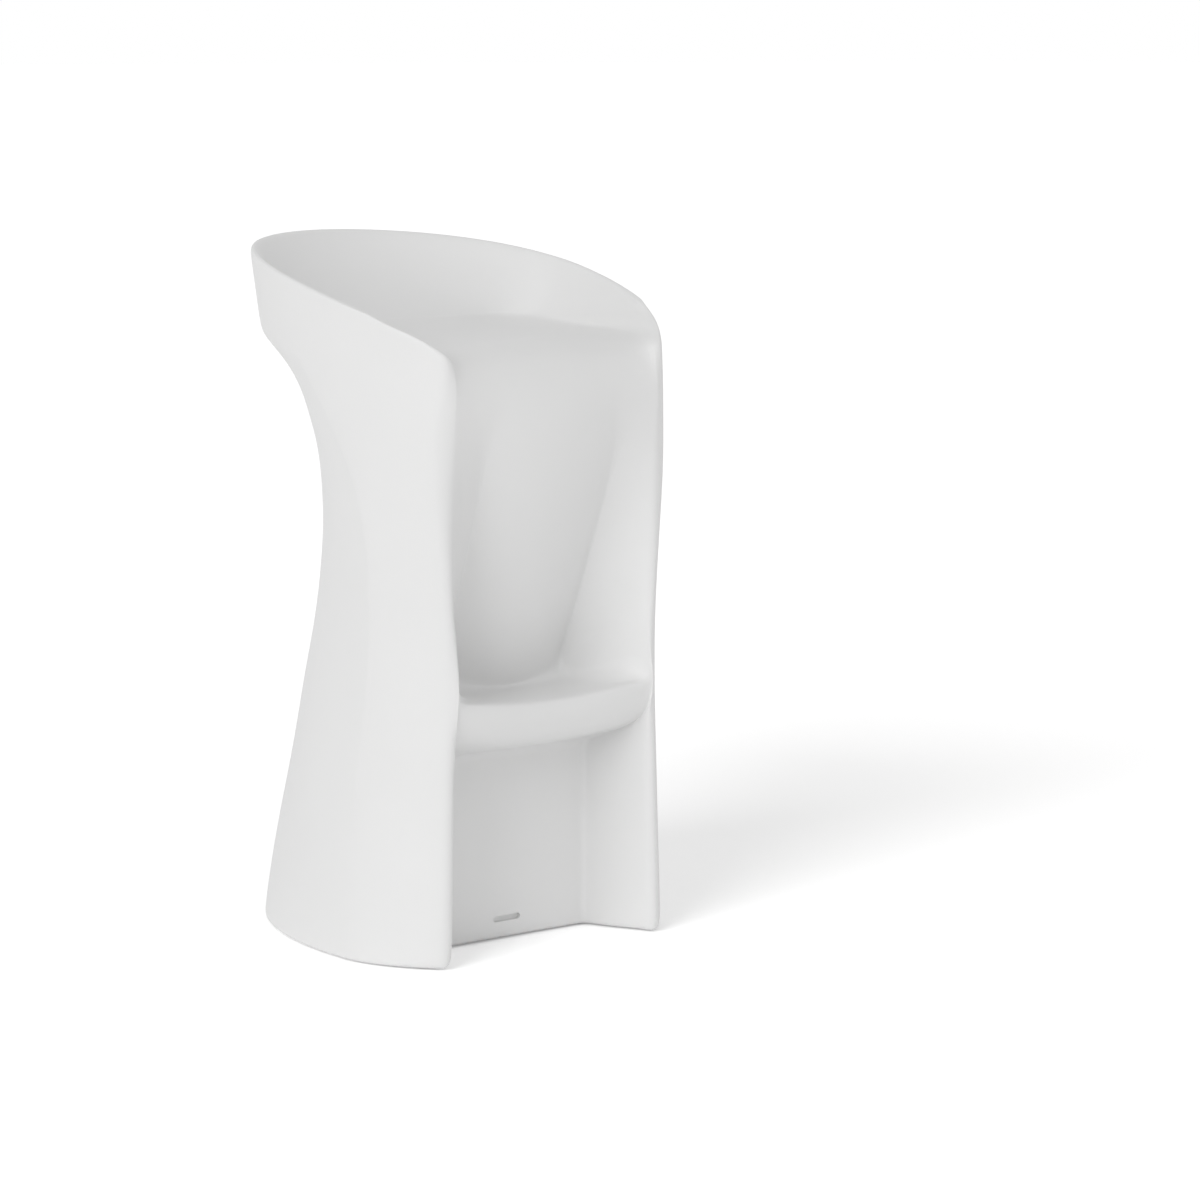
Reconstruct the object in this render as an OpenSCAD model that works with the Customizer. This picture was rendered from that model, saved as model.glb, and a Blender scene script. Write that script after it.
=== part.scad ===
// In-pool bar stool: one hollow moulded shell with a bucket seat, a leg well and a footrest,
// filled with water as ballast through a screwed port in the back, and drained by a lower one.
// Millimetres. X is the width, the open front faces -Y, Z is up, the pads rest on z = 0.

/* [Overall] */
// Height from the floor to the top of the back
overall_height = 880; // [840:10:940]
// Width of the shell at the rim
rim_width = 476; // [456:4:500]
// Width of the shell at its foot
base_width = 464; // [444:4:484]
// Width of the shell at its narrowest, between foot and seat
waist_width = 420; // [404:4:436]
// Wall thickness of the moulded shell
wall = 6; // [5:0.5:8]
// Depth of the hollow back measured at its waist, from the seat axis
waist_rear = 172; // [160:4:184]
// Distance from the seat axis to the rearmost point of the foot
base_rear = 306; // [296:2:316]

/* [Seat] */
// Height of the seat where it meets the backrest
seat_height = 768; // [748:4:788]
// How far the seat is dished below its edge
seat_dish = 7; // [0:1:12]
// Height of the rim at the front corner of each side
rim_front_height = 745; // [725:5:765]

/* [Footrest] */
// Height of the tread that the feet rest on
tread_height = 321; // [300:3:342]
// Height of the rounded front face of the footrest
nose_height = 58; // [46:2:66]

/* [Lower recess] */
// Width of the flat panel below the footrest
panel_width = 250; // [220:5:256]
// Length of the moulded slot in that panel
slot_length = 40; // [30:2:50]
// Height of the slot opening
slot_height = 7; // [5:0.5:9]
// How deep the slot goes into the panel
slot_depth = 3.5; // [2:0.5:4]
// Height of the slot above the floor
slot_level = 28; // [26:1:40]

/* [Water ports] */
// Height of the fill port, at the waist of the back
fill_level = 590; // [560:5:620]
// Height of the drain port
drain_level = 72; // [66:2:90]
// Radius of the round recess that holds a cap
recess_radius = 34; // [32:1:40]
// Depth of the recess below the surface of the back
recess_depth = 13; // [12:1:16]
// Outer diameter of the cap's head
cap_diameter = 46; // [42:1:50]
// Height of the cap's head
cap_height = 9; // [8:0.5:11]
// Diameter of the cap's screwed plug
plug_diameter = 26; // [24:1:30]
// Length of the cap's screwed plug below its gasket
plug_length = 15; // [12:1:17]
// Thickness of the gasket under the cap
gasket_thickness = 2.5; // [2:0.5:3.5]
// Radial clearance between plug and insert
thread_clearance = 0.35; // [0.3:0.05:0.5]

/* [Foot pads] */
// Diameter of a rubber pad
pad_diameter = 28; // [24:1:30]
// How far a pad stands out below the shell
pad_proud = 1; // [1:0.5:3]
// Depth of the pad's pocket in the shell
pad_pocket = 3; // [2:0.5:4]

/* [View] */
// Which node to show

/* [Hidden] */
shell_color = "#e9e9e6";
insert_color = "#b9a46a";
cap_color = "#e2e2de";
rubber_color = "#3a3b3d";
$fn = 64;

bottom = pad_proud;              // the shell's underside
half_columns = 18;               // grid columns from the middle to a side's front edge
columns = 2 * half_columns;
rows_per_station = 2;            // grid rows from one station of the loft to the next
edge_strip = 6;                  // where the front sheet starts, in from a side's sharp front edge
edge_ease = 0.3;                 // where the back sheet starts, in columns from that edge
rim_strip = 9;                   // width of the band that rounds the rim
foot_round = 10;                 // width of the band that rounds the lower edge
foot_ease = 1.2;                 // how far that band cuts into the sharp lower corner
tip_round = 14;                  // the same two sizes at the tips of the sides
tip_ease = 3;

// Cubic curve through a table of [position, value] rows, where a value may be a list
function slope(t, i) =
    let (last = len(t) - 1)
    i == 0 ? (t[1][1] - t[0][1]) / (t[1][0] - t[0][0]) :
    i == last ? (t[last][1] - t[last - 1][1]) / (t[last][0] - t[last - 1][0]) :
    let (before = t[i][0] - t[i - 1][0], after = t[i + 1][0] - t[i][0])
    ((t[i + 1][1] - t[i][1]) * before / after + (t[i][1] - t[i - 1][1]) * after / before) / (before + after);
function interval(t, p, i = 0) = i >= len(t) - 2 || p < t[i + 1][0] ? i : interval(t, p, i + 1);
function through(t, p) =
    let (q = min(max(p, t[0][0]), t[len(t) - 1][0]))
    let (i = interval(t, q))
    let (h = t[i + 1][0] - t[i][0], u = (q - t[i][0]) / h)
    (2 * u * u * u - 3 * u * u + 1) * t[i][1] + (u * u * u - 2 * u * u + u) * h * slope(t, i)
    + (3 * u * u - 2 * u * u * u) * t[i + 1][1] + (u * u * u - u * u) * h * slope(t, i + 1);
function mix(a, b, u) = a * (1 - u) + b * u;
function unit(v) = v / norm(v);

// Outside: an oval tube, wider behind than in front, that is hollowed out across the back
k_rise = overall_height / 880;
half_width = [[0, base_width / 2], [200, base_width / 2 - 11], [400, waist_width / 2],
    [640, waist_width / 2 + 14], [880, rim_width / 2]];
oval_middle = [[0, -55], [250, -62], [560, -60], [880, 10]];
oval_front = [[0, 212], [250, 205], [560, 228], [880, 324]];
oval_rear = [[0, base_rear + 55], [250, 329], [560, 320], [880, 280]];
back_profile = [[0, base_rear + 5], [110, base_rear - 22], [220, base_rear - 56], [330, waist_rear + 54],
    [440, waist_rear + 22], [550, waist_rear + 1], [650, waist_rear + 6], [720, waist_rear + 43], [780, 322]];
hollow_middle = [[0, -62], [200, -100], [400, -162], [600, -172], [780, -63]];
hollow_widening = [[0, 0], [300, 0.5], [440, 2.3], [550, 4.6], [650, 7.7], [780, 15]];
crease_soft = 1.6;
top_of_hollow = 786;

function ellipse_reach(cx, cy, a, b) = 1 / sqrt(pow(cx / a, 2) + pow(cy / b, 2));
function offset_reach(cx, cy, a, b, shift) =
    let (p = pow(cx / a, 2) + pow(cy / b, 2), q = 2 * cy * shift / (b * b), r = pow(shift / b, 2) - 1)
    (-q + sqrt(max(q * q - 4 * p * r, 0))) / (2 * p);
function soft_min(a, b) =
    let (gap = abs(a - b))
    min(a, b) - (gap > 12 * crease_soft ? 0 : crease_soft * ln(1 + exp(-gap / crease_soft)));
// A point of the outside: turn is 0 at the front, 90 at the side and 180 at the back
function outside(turn, level) =
    let (z = level / k_rise, cx = sin(turn), cy = -cos(turn))
    let (a = through(half_width, z), middle = through(oval_middle, z))
    let (tube = ellipse_reach(cx, cy, a, cy < 0 ? through(oval_front, z) : through(oval_rear, z)))
    let (centre = through(hollow_middle, z), shift = middle - centre)
    let (wide = a + through(hollow_widening, z), deep = through(back_profile, z) - centre)
    let (hollow = offset_reach(cx, cy, wide, deep, shift))
    let (behind = middle + cy * hollow > centre && z < top_of_hollow)
    let (reach = behind ? soft_min(tube, hollow) : tube)
    [cx * reach, middle + cy * reach, level];

// Front edge of each side: how far it lies in from the widest part
edge_inset = [[0, 66], [250, 57], [560, 55], [745, 58]];
function edge_turn(level) =
    let (z = level / k_rise, a = through(half_width, z), x = a - through(edge_inset, z))
    atan2(x, through(oval_front, z) * sqrt(1 - pow(x / a, 2)));
// The rim climbs from the rounded front corner to the back, fast at first
corner_lift = 26;
corner_turn = 4;
rim_power = 1.9;
first_turn = edge_turn(rim_front_height);
function climb(turn, first) = 1 - pow((180 - turn) / (180 - first), rim_power);
function rim_height(turn) =
    mix(rim_front_height + corner_lift, overall_height, climb(turn, first_turn))
    - corner_lift * exp((first_turn - turn) / corner_turn);
function rim_at(shift) = rim_height(first_turn + shift);

// Front: sections lofted from the foot to the rim, each one bent once between middle and side edge.
// A station is [edge turn past the corner, edge height, rear height, [middle y, z], [knee x, y, z],
// knee roundness, climb], where climb above 1 holds a side level until it nears its edge.
panel_y = -100;
panel_half = panel_width / 2;
lip_y = -198;
tread = tread_height;
nose_foot = tread_height - nose_height;
back_slope = 0.36;               // the leg panel's lean, in mm per mm of height
function leg_panel(z) = -105 - back_slope * (z - 327);
stations = [
    [0, bottom + foot_round, bottom + foot_round, [panel_y, bottom + foot_round],
        [panel_half, panel_y, bottom + foot_round], 8, 1],
    [0, 100, 92, [panel_y, 100], [panel_half, panel_y, 100], 8, 1],
    [0, 180, 170, [panel_y, 195], [panel_half, panel_y, 190], 8, 1],
    [0, 228, 215, [panel_y, nose_foot - 26], [panel_half + 1, panel_y - 1, nose_foot - 26], 8, 1],
    [0, 254, 238, [panel_y - 8, nose_foot - 13], [panel_half + 4, panel_y - 12, nose_foot - 9], 12, 1],
    [0, 278, 258, [-148, nose_foot - 8], [138, -148, nose_foot + 4], 14, 1],
    [0, 298, 276, [-183, nose_foot - 3], [148, -180, nose_foot + 18], 16, 1],
    [0, 318, 292, [lip_y + 4, nose_foot + 12], [152, -191, nose_foot + 38], 18, 1],
    [0, 338, 308, [lip_y - 1, tread - 20], [153, lip_y + 1, tread - 2], 18, 1],
    [0, 352, 320, [lip_y, tread - 6], [150, lip_y, tread + 8], 16, 1],
    [0, 364, 329, [lip_y + 8, tread], [146, lip_y + 6, tread + 10], 18, 1],
    [0, 382, 338, [-170, tread], [134, -172, tread + 4], 40, 1],
    [0, 402, 346, [-138, tread], [119, -140, tread + 2], 42, 1],
    [0, 422, 353, [-114, tread + 1], [101, -108, tread + 5], 30, 1],
    [0, 438, 361, [leg_panel(tread + 6), tread + 6], [98, -91, tread + 20], 14, 1],
    [0, 454, 374, [leg_panel(tread + 24), tread + 24], [98, -88, tread + 40], 8, 1],
    [0, 492, 418, [leg_panel(tread + 89), tread + 89], [98, -114, tread + 91], 6, 1],
    [0, 544, 475, [leg_panel(tread + 179), tread + 179], [100, -148, tread + 179], 6, 1],
    [0, 592, 525, [leg_panel(seat_height - 193) + 2, seat_height - 193], [102, -174, seat_height - 196], 6, 1],
    [0, 630, 565, [-207, seat_height - 136], [106, -191, seat_height - 143], 10, 1],
    [0, 662, 598, [-212, seat_height - 94], [114, -194, seat_height - 103], 18, 1],
    [0, 690, 628, [-206, seat_height - 56], [130, -185, seat_height - 68], 28, 1],
    [0, 716, 652, [-187, seat_height - 24], [153, -163, seat_height - 38], 36, 1],
    [1, rim_at(1), 672, [-156, seat_height - 3], [172, -131, seat_height - 18], 40, 1],
    [3.5, rim_at(3.5), 688, [-100, seat_height], [186, -80, seat_height - 8], 50, 1],
    [7, rim_at(7), 702, [-18, seat_height - seat_dish], [191, -8, seat_height - 4], 65, 1.3],
    [11, rim_at(11), 717, [62, seat_height - seat_dish + 2], [193, 66, seat_height - 2], 80, 1.6],
    [15, rim_at(15), 735, [104, seat_height], [194, 106, seat_height], 90, 1.8]];
inner_back_rows = 8;             // grid rows from the seat's edge up to the rim
bowl = 0.15;                     // 0 is a straight inner back, 1 a round bowl
last_station = len(stations) - 1;
rows = 2 + last_station * rows_per_station + inner_back_rows;
middle_columns = 7;              // columns from the middle to where the knee starts to turn
knee_columns = 5;

function station_column(k) = [for (i = [0:last_station]) [i, stations[i][k]]];
edge_turns = station_column(0);
edge_heights = station_column(1);
rear_heights = station_column(2);
middles = station_column(3);
knees = station_column(4);
knee_softness = station_column(5);
side_climbs = station_column(6);

crease_turn = [[200, 86], [450, 82], [600, 83], [700, 93], [780, 102], [880, 104]];
// The turn of a column, counted from the side edge to the middle of the back
function column_turn(step, first, level) =
    through([[0, first], [1, first + 4], [half_columns / 3, through(crease_turn, level / k_rise)],
        [half_columns, 180]], step);
// A point of the back sheet on the row that runs between these two heights
function outer_point(step, shift, edge_height, rear_height) =
    let (first = edge_turn(min(edge_height, rim_front_height)) + shift)
    let (turn = column_turn(step, first, edge_height))
    outside(turn, mix(edge_height, rear_height, climb(turn, first)));

function bezier(a, b, c, u) = a * (1 - u) * (1 - u) + b * 2 * u * (1 - u) + c * u * u;
// A point of a lofted section: step 0 is the side edge and half_columns the middle
function section_point(row, step) =
    let (edge_height = through(edge_heights, row), m = through(middles, row), k = through(knees, row))
    let (edge = outer_point(0, through(edge_turns, row), edge_height, edge_height), middle = [0, m[0], m[1]])
    let (soft = through(knee_softness, row))
    let (start = k + unit(middle - k) * min(soft, 0.8 * norm(middle - k)))
    let (end = k + unit(edge - k) * min(soft, 0.5 * norm(edge - k)))
    let (inner_edge = edge + unit(end - edge) * edge_strip)
    let (from_middle = half_columns - step)
    from_middle <= middle_columns ? bow(middle, start, from_middle / middle_columns) :
    from_middle <= middle_columns + knee_columns ?
        bezier(start, k, end, (from_middle - middle_columns) / knee_columns) :
    let (side_columns = half_columns - middle_columns - knee_columns)
    side_run(end, inner_edge, 1 - step / side_columns, through(side_climbs, row));
function bow(a, b, u) = [mix(a[0], b[0], u), mix(a[1], b[1], u * u), mix(a[2], b[2], u * u)];
function side_run(a, b, u, power) = [mix(a[0], b[0], u), mix(a[1], b[1], u), mix(a[2], b[2], pow(u, power))];

rim_shift = 22;                  // turn from the front corner to where the rows' ends meet the rim
function rim_point(step) = outer_point(step, rim_shift, rim_at(rim_shift), overall_height);
function inner_rim_point(step) =
    let (p = rim_point(step))
    p + unit([-p[0], -p[1], 0]) * rim_strip;
// The inner back rises from the seat's edge to the rim, between a straight and a round bowl
function inner_back_point(u, step) =
    let (low = section_point(last_station, step), high = inner_rim_point(step))
    let (out = mix(u, sin(90 * u), bowl), up = mix(u, 1 - cos(90 * u), bowl))
    [mix(low[0], high[0], out), mix(low[1], high[1], out), mix(low[2], high[2], up)];

// Lower rows: the underside's inset ring, then the eased foot. Near a side's front edge they also
// draw back along the side, so that its tip is rounded too.
tip_columns = 4;
function front_foot(step) = section_point(0, step);
function back_foot(step) = outer_point(max(step, edge_ease), 0, bottom, bottom);
tip_middle = (front_foot(tip_columns) + back_foot(tip_columns)) / 2;
function flat_way(p, q) = unit([q[0] - p[0], q[1] - p[1]]);
function foot_point(p, q, step, inset, tip_inset, level) =
    let (across = flat_way(p, q) * min(inset, norm(q - p) * inset / foot_round / 3))
    let (back = flat_way(p, tip_middle) * tip_inset * max(0, 1 - step / tip_columns))
    [p[0] + across[0] + back[0], p[1] + across[1] + back[1], level];
function foot_row(p, q, step, row) =
    row == 0 ? foot_point(p, q, step, foot_round, tip_round, bottom) :
    foot_point(p, q, step, foot_ease, tip_ease, bottom + foot_ease);
function front_point(row, step) =
    row <= 1 ? foot_row(front_foot(step), back_foot(step), step, row) :
    row - 2 <= last_station * rows_per_station ? section_point((row - 2) / rows_per_station, step) :
    inner_back_point((row - 2 - last_station * rows_per_station) / inner_back_rows, step);
function back_point(row, step) =
    let (loft_row = (row - 2) / rows_per_station, eased = max(step, edge_ease))
    row <= 1 ? foot_row(back_foot(step), front_foot(step), step, row) :
    loft_row <= last_station ?
        outer_point(eased, through(edge_turns, loft_row), through(edge_heights, loft_row),
            through(rear_heights, loft_row)) :
    let (u = (loft_row - last_station) * rows_per_station / inner_back_rows)
    let (shift = mix(stations[last_station][0], rim_shift, u))
    outer_point(eased, shift, rim_at(shift), mix(stations[last_station][2], overall_height, u));

// Both sheets as grids, left edge to right edge
function mirrored(p, side) = [side * p[0], p[1], p[2]];
function sheet(half) = [for (r = half) [for (j = [0:columns])
    j <= half_columns ? mirrored(r[j], -1) : r[columns - j]]];
front_grid = sheet([for (i = [0:rows]) [for (s = [0:half_columns]) front_point(i, s)]]);
back_grid = sheet([for (i = [0:rows]) [for (s = [0:half_columns]) back_point(i, s)]]);

// Rounding: every grid point moves to the smooth surface that the grid controls
function near(a, b, i, j) =
    j < 0 ? b[min(i, rows)][0] : j > columns ? b[min(i, rows)][columns] : i > rows ? b[rows][j] : a[i][j];
function corner(i, j) = i == rows && (j == 0 || j == columns);
function corner_point(a, b, j) =
    let (in = j == 0 ? 1 : columns - 1)
    (9 * a[rows][j] + 4 * (a[rows - 1][j] + a[rows][in] + b[rows][j])
        + a[rows - 1][in] + b[rows][in] + b[rows - 1][j]) / 24;
function smooth_point(a, b, i, j) =
    i == 0 ? a[i][j] :
    corner(i, j) ? corner_point(a, b, j) :
    (16 * a[i][j]
        + 4 * (near(a, b, i - 1, j) + near(a, b, i + 1, j) + near(a, b, i, j - 1) + near(a, b, i, j + 1))
        + near(a, b, i - 1, j - 1) + near(a, b, i - 1, j + 1)
        + near(a, b, i + 1, j - 1) + near(a, b, i + 1, j + 1)) / 36;
function smoothed(a, b) = [for (i = [0:rows]) [for (j = [0:columns]) smooth_point(a, b, i, j)]];
front_sheet = smoothed(front_grid, back_grid);
back_sheet = smoothed(back_grid, front_grid);

// The crest between the two sheets, along the front edges and the rim
function crest_across(before, a, b, after) = (23 * (a + b) + before + after) / 48;
function side_crest(i, j) =
    let (in = j == 0 ? 1 : columns - 1)
    crest_across(front_grid[i][in], front_grid[i][j], back_grid[i][j], back_grid[i][in]);
function rim_crest(j) =
    crest_across(front_grid[rows - 1][j], front_grid[rows][j], back_grid[rows][j], back_grid[rows - 1][j]);
function along(list, k) =
    k == 0 || k == len(list) - 1 ? list[k] : (list[k - 1] + 4 * list[k] + list[k + 1]) / 6;
crest_path = [
    for (i = [0:rows]) side_crest(i, 0),
    for (j = [1:columns - 1]) rim_crest(j),
    for (i = [rows:-1:0]) side_crest(i, columns)];
crest = [for (k = [0:len(crest_path) - 1]) along(crest_path, k)];

// The box of the shell decides where the origin lies between front and back
all_y = [for (r = front_sheet) for (p = r) p[1], for (r = back_sheet) for (p = r) p[1], for (p = crest) p[1]];
middle_y = (min(all_y) + max(all_y)) / 2;
function placed(p) = [p[0], p[1] - middle_y, p[2]];

// One closed surface: front sheet, back sheet, crest between them, and the underside
row_size = columns + 1;
sheet_size = (rows + 1) * row_size;
crest_size = len(crest);
function front_at(i, j) = i * row_size + j;
function back_at(i, j) = sheet_size + front_at(i, j);
function crest_left(i) = 2 * sheet_size + i;
function crest_top(j) = 2 * sheet_size + rows + j;
function crest_right(i) = 2 * sheet_size + crest_size - 1 - i;
function two(a, b, c, d) = [[a, b, c], [a, c, d]];
shell_points = [for (r = front_sheet) for (p = r) placed(p), for (r = back_sheet) for (p = r) placed(p),
    for (p = crest) placed(p)];
shell_faces = [
    for (i = [0:rows - 1]) for (j = [0:columns - 1])
        each two(front_at(i, j), front_at(i + 1, j), front_at(i + 1, j + 1), front_at(i, j + 1)),
    for (i = [0:rows - 1]) for (j = [0:columns - 1])
        each two(back_at(i, j), back_at(i, j + 1), back_at(i + 1, j + 1), back_at(i + 1, j)),
    for (i = [0:rows - 1]) each two(crest_left(i), crest_left(i + 1), front_at(i + 1, 0), front_at(i, 0)),
    for (i = [0:rows - 1]) each two(back_at(i, 0), back_at(i + 1, 0), crest_left(i + 1), crest_left(i)),
    for (i = [0:rows - 1])
        each two(front_at(i, columns), front_at(i + 1, columns), crest_right(i + 1), crest_right(i)),
    for (i = [0:rows - 1])
        each two(crest_right(i), crest_right(i + 1), back_at(i + 1, columns), back_at(i, columns)),
    for (j = [0:columns - 1])
        each two(front_at(rows, j), crest_top(j), crest_top(j + 1), front_at(rows, j + 1)),
    for (j = [0:columns - 1])
        each two(crest_top(j), back_at(rows, j), back_at(rows, j + 1), crest_top(j + 1)),
    for (j = [0:columns - 1])
        each two(back_at(0, j), front_at(0, j), front_at(0, j + 1), back_at(0, j + 1)),
    [crest_left(0), front_at(0, 0), back_at(0, 0)],
    [front_at(0, columns), crest_right(0), back_at(0, columns)]];
module outer_form() {
    polyhedron(points = shell_points, faces = shell_faces, convexity = 8);
}

// The hollow inside: both sheets moved inward by the wall, towards each other's matching point
cavity_first_row = 2;
cavity_last_row = rows - 3;
cavity_side = 2;                 // columns left solid behind each front edge
function facing(a, i, j) = unit(cross(a[i][j + 1] - a[i][j - 1], a[i + 1][j] - a[i - 1][j]));
function inner_point(a, b, i, j) =
    let (p = a[i][j], q = b[i][j], way = unit(q - p), depth = wall / max(abs(way * facing(a, i, j)), 0.3))
    let (r = p + way * min(depth, 0.32 * norm(q - p)))
    i == cavity_first_row ? [r[0], r[1], bottom + wall] : r;
cavity_rows = [for (i = [cavity_first_row:2:cavity_last_row]) i];
cavity_columns = [for (j = [cavity_side:2:columns - cavity_side]) j];
cavity_wide = len(cavity_columns);
cavity_high = len(cavity_rows);
cavity_points = [
    for (i = cavity_rows) for (j = cavity_columns) placed(inner_point(front_sheet, back_sheet, i, j)),
    for (i = cavity_rows) for (j = cavity_columns) placed(inner_point(back_sheet, front_sheet, i, j))];
function cf(i, j) = i * cavity_wide + j;
function cb(i, j) = cavity_high * cavity_wide + cf(i, j);
cavity_top = cavity_high - 1;
cavity_right = cavity_wide - 1;
cavity_faces = [
    for (i = [0:cavity_top - 1]) for (j = [0:cavity_right - 1])
        each two(cf(i, j), cf(i + 1, j), cf(i + 1, j + 1), cf(i, j + 1)),
    for (i = [0:cavity_top - 1]) for (j = [0:cavity_right - 1])
        each two(cb(i, j), cb(i, j + 1), cb(i + 1, j + 1), cb(i + 1, j)),
    for (i = [0:cavity_top - 1]) each two(cb(i, 0), cb(i + 1, 0), cf(i + 1, 0), cf(i, 0)),
    for (i = [0:cavity_top - 1])
        each two(cf(i, cavity_right), cf(i + 1, cavity_right), cb(i + 1, cavity_right), cb(i, cavity_right)),
    for (j = [0:cavity_right - 1])
        each two(cf(cavity_top, j), cb(cavity_top, j), cb(cavity_top, j + 1), cf(cavity_top, j + 1)),
    for (j = [0:cavity_right - 1])
        each two(cb(0, j), cf(0, j), cf(0, j + 1), cb(0, j + 1))];
module cavity() {
    polyhedron(points = cavity_points, faces = cavity_faces, convexity = 8);
}

// Where things sit, in the frame of the part
fit_gap = 0.3;                   // between parts that move on each other
drain_extra = 6;                 // the drain's recess is deeper, because the foot slopes there
boss_wall = 7;
boss_length = 18;
insert_diameter = plug_diameter + 11;
insert_tail = 2;                 // the insert stands into the hollow
recess_floor_round = 3;
function back_surface(level) = outside(180, level)[1] - middle_y;
fill_floor = back_surface(fill_level) - recess_depth;
drain_floor = back_surface(drain_level) - recess_depth - drain_extra;

// Turns +Z to point out of the back, at a port's recess floor
module at_port(floor_y, level) {
    translate([0, floor_y, level]) rotate([-90, 0, 0]) children();
}

module port_boss(reach) {
    translate([0, 0, -boss_length]) cylinder(r = recess_radius + boss_wall, h = boss_length + reach);
}

module port_cut(reach) {
    cylinder(r = recess_radius - recess_floor_round, h = reach);
    translate([0, 0, recess_floor_round]) cylinder(r = recess_radius, h = reach);
    rotate_extrude() translate([recess_radius - recess_floor_round, recess_floor_round])
        circle(r = recess_floor_round);
    translate([0, 0, -boss_length - 1]) cylinder(d = insert_diameter, h = boss_length + 2);
}

// Threaded bung that is moulded into the wall, its face flush with the recess floor. Two ribs hold it.
grip_diameter = insert_diameter + 4;
grip_width = 4;
grip_depths = [-boss_length * 0.7, -boss_length * 0.35];
module insert_ring() {
    difference() {
        translate([0, 0, -boss_length - insert_tail])
            cylinder(d = insert_diameter, h = boss_length + insert_tail);
        translate([0, 0, -boss_length - insert_tail - 1])
            cylinder(d = plug_diameter + 2 * thread_clearance, h = boss_length + insert_tail + 2);
    }
    for (depth = grip_depths) {
        translate([0, 0, depth]) difference() {
            cylinder(d = grip_diameter, h = grip_width);
            translate([0, 0, -1]) cylinder(d = insert_diameter - 1, h = grip_width + 2);
        }
    }
}

module port_insert_cut() {
    for (depth = grip_depths) {
        translate([0, 0, depth]) cylinder(d = grip_diameter, h = grip_width);
    }
}

module gasket_ring() {
    translate([0, 0, fit_gap]) difference() {
        cylinder(d = insert_diameter + 2, h = gasket_thickness);
        translate([0, 0, -1]) cylinder(d = plug_diameter + 2 * fit_gap, h = gasket_thickness + 2);
    }
}

// Cap: a head with a sunk grip bar, and a plug that screws into the insert
module screw_cap() {
    head = gasket_thickness + 2 * fit_gap;
    chamfer = 1.5;
    well_depth = 5.5;
    well_radius = cap_diameter / 2 - 6;
    bar_width = 7;
    translate([0, 0, head]) difference() {
        rotate_extrude() polygon([[0, 0], [cap_diameter / 2 - 0.5, 0], [cap_diameter / 2, 0.5],
            [cap_diameter / 2, cap_height - chamfer], [cap_diameter / 2 - chamfer, cap_height],
            [0, cap_height]]);
        difference() {
            translate([0, 0, cap_height - well_depth]) cylinder(r = well_radius, h = well_depth + 1);
            translate([-bar_width / 2, -well_radius, 0]) cube([bar_width, 2 * well_radius, cap_height]);
        }
    }
    translate([0, 0, head - plug_length - gasket_thickness])
        cylinder(d = plug_diameter, h = plug_length + gasket_thickness + 1);
}

// Rubber pad with a stem that is pushed into the shell's underside
stem_diameter = 9;
stem_length = 10;
stem_bite = 0.4;                 // the rib of the stem is this much wider in radius
pad_side = base_width / 2 - 58;
pad_front_y = -137;
pad_rear_side = base_width / 2 - 120;
pad_rear_y = base_rear - 104;
pad_places = [[-pad_side, pad_front_y], [pad_side, pad_front_y], [-pad_rear_side, pad_rear_y],
    [pad_rear_side, pad_rear_y]];
module at_pad(k) {
    translate([pad_places[k][0], pad_places[k][1] - middle_y, 0]) children();
}

module pad() {
    edge = 1;
    top = pad_proud + pad_pocket;
    r = pad_diameter / 2;
    s = stem_diameter / 2;
    rotate_extrude() polygon([[0, 0], [r - edge, 0], [r, edge], [r, top], [s, top], [s, top + 4],
        [s + stem_bite, top + 5], [s, top + 7], [s, top + stem_length - 1], [s - 1, top + stem_length],
        [0, top + stem_length]]);
}

module pad_boss() {
    translate([0, 0, bottom]) cylinder(d = pad_diameter + 12, h = pad_pocket + stem_length + 6);
}

module pad_cut() {
    top = pad_proud + pad_pocket;
    translate([0, 0, -1]) cylinder(d = pad_diameter + 0.2, h = top + 1);
    translate([0, 0, top - 0.1]) cylinder(d = stem_diameter + 2 * stem_bite, h = stem_length + 1);
}

module slot_cut() {
    flat = slot_length - slot_height;
    translate([0, panel_y - middle_y, slot_level]) rotate([90, 0, 0]) translate([0, 0, -slot_depth]) {
        translate([-flat / 2, -slot_height / 2, 0]) cube([flat, slot_height, slot_depth + 5]);
        for (side = [-1, 1]) translate([side * flat / 2, 0, 0]) cylinder(d = slot_height, h = slot_depth + 5);
    }
}

// The hollow for water, less the solid bosses that hold the ports and the pads
module water_space() {
    reach = 60;
    difference() {
        cavity();
        at_port(fill_floor, fill_level) port_boss(reach);
        at_port(drain_floor, drain_level) port_boss(reach);
        for (k = [0:3]) at_pad(k) pad_boss();
    }
}

module shell() {
    reach = 60;
    color(shell_color) difference() {
        outer_form();
        water_space();
        at_port(fill_floor, fill_level) port_cut(reach);
        at_port(fill_floor, fill_level) port_insert_cut();
        at_port(drain_floor, drain_level) port_cut(reach);
        at_port(drain_floor, drain_level) port_insert_cut();
        for (k = [0:3]) at_pad(k) pad_cut();
        slot_cut();
    }
}

module fill_insert() {
    color(insert_color) at_port(fill_floor, fill_level) insert_ring();
}

module fill_gasket() {
    color(rubber_color) at_port(fill_floor, fill_level) gasket_ring();
}

module fill_cap() {
    color(cap_color) at_port(fill_floor, fill_level) screw_cap();
}

module drain_insert() {
    color(insert_color) at_port(drain_floor, drain_level) insert_ring();
}

module drain_gasket() {
    color(rubber_color) at_port(drain_floor, drain_level) gasket_ring();
}

module drain_cap() {
    color(cap_color) at_port(drain_floor, drain_level) screw_cap();
}

module pad_front_left() {
    color(rubber_color) at_pad(0) pad();
}

module pad_front_right() {
    color(rubber_color) at_pad(1) pad();
}

module pad_rear_left() {
    color(rubber_color) at_pad(2) pad();
}

module pad_rear_right() {
    color(rubber_color) at_pad(3) pad();
}

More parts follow.
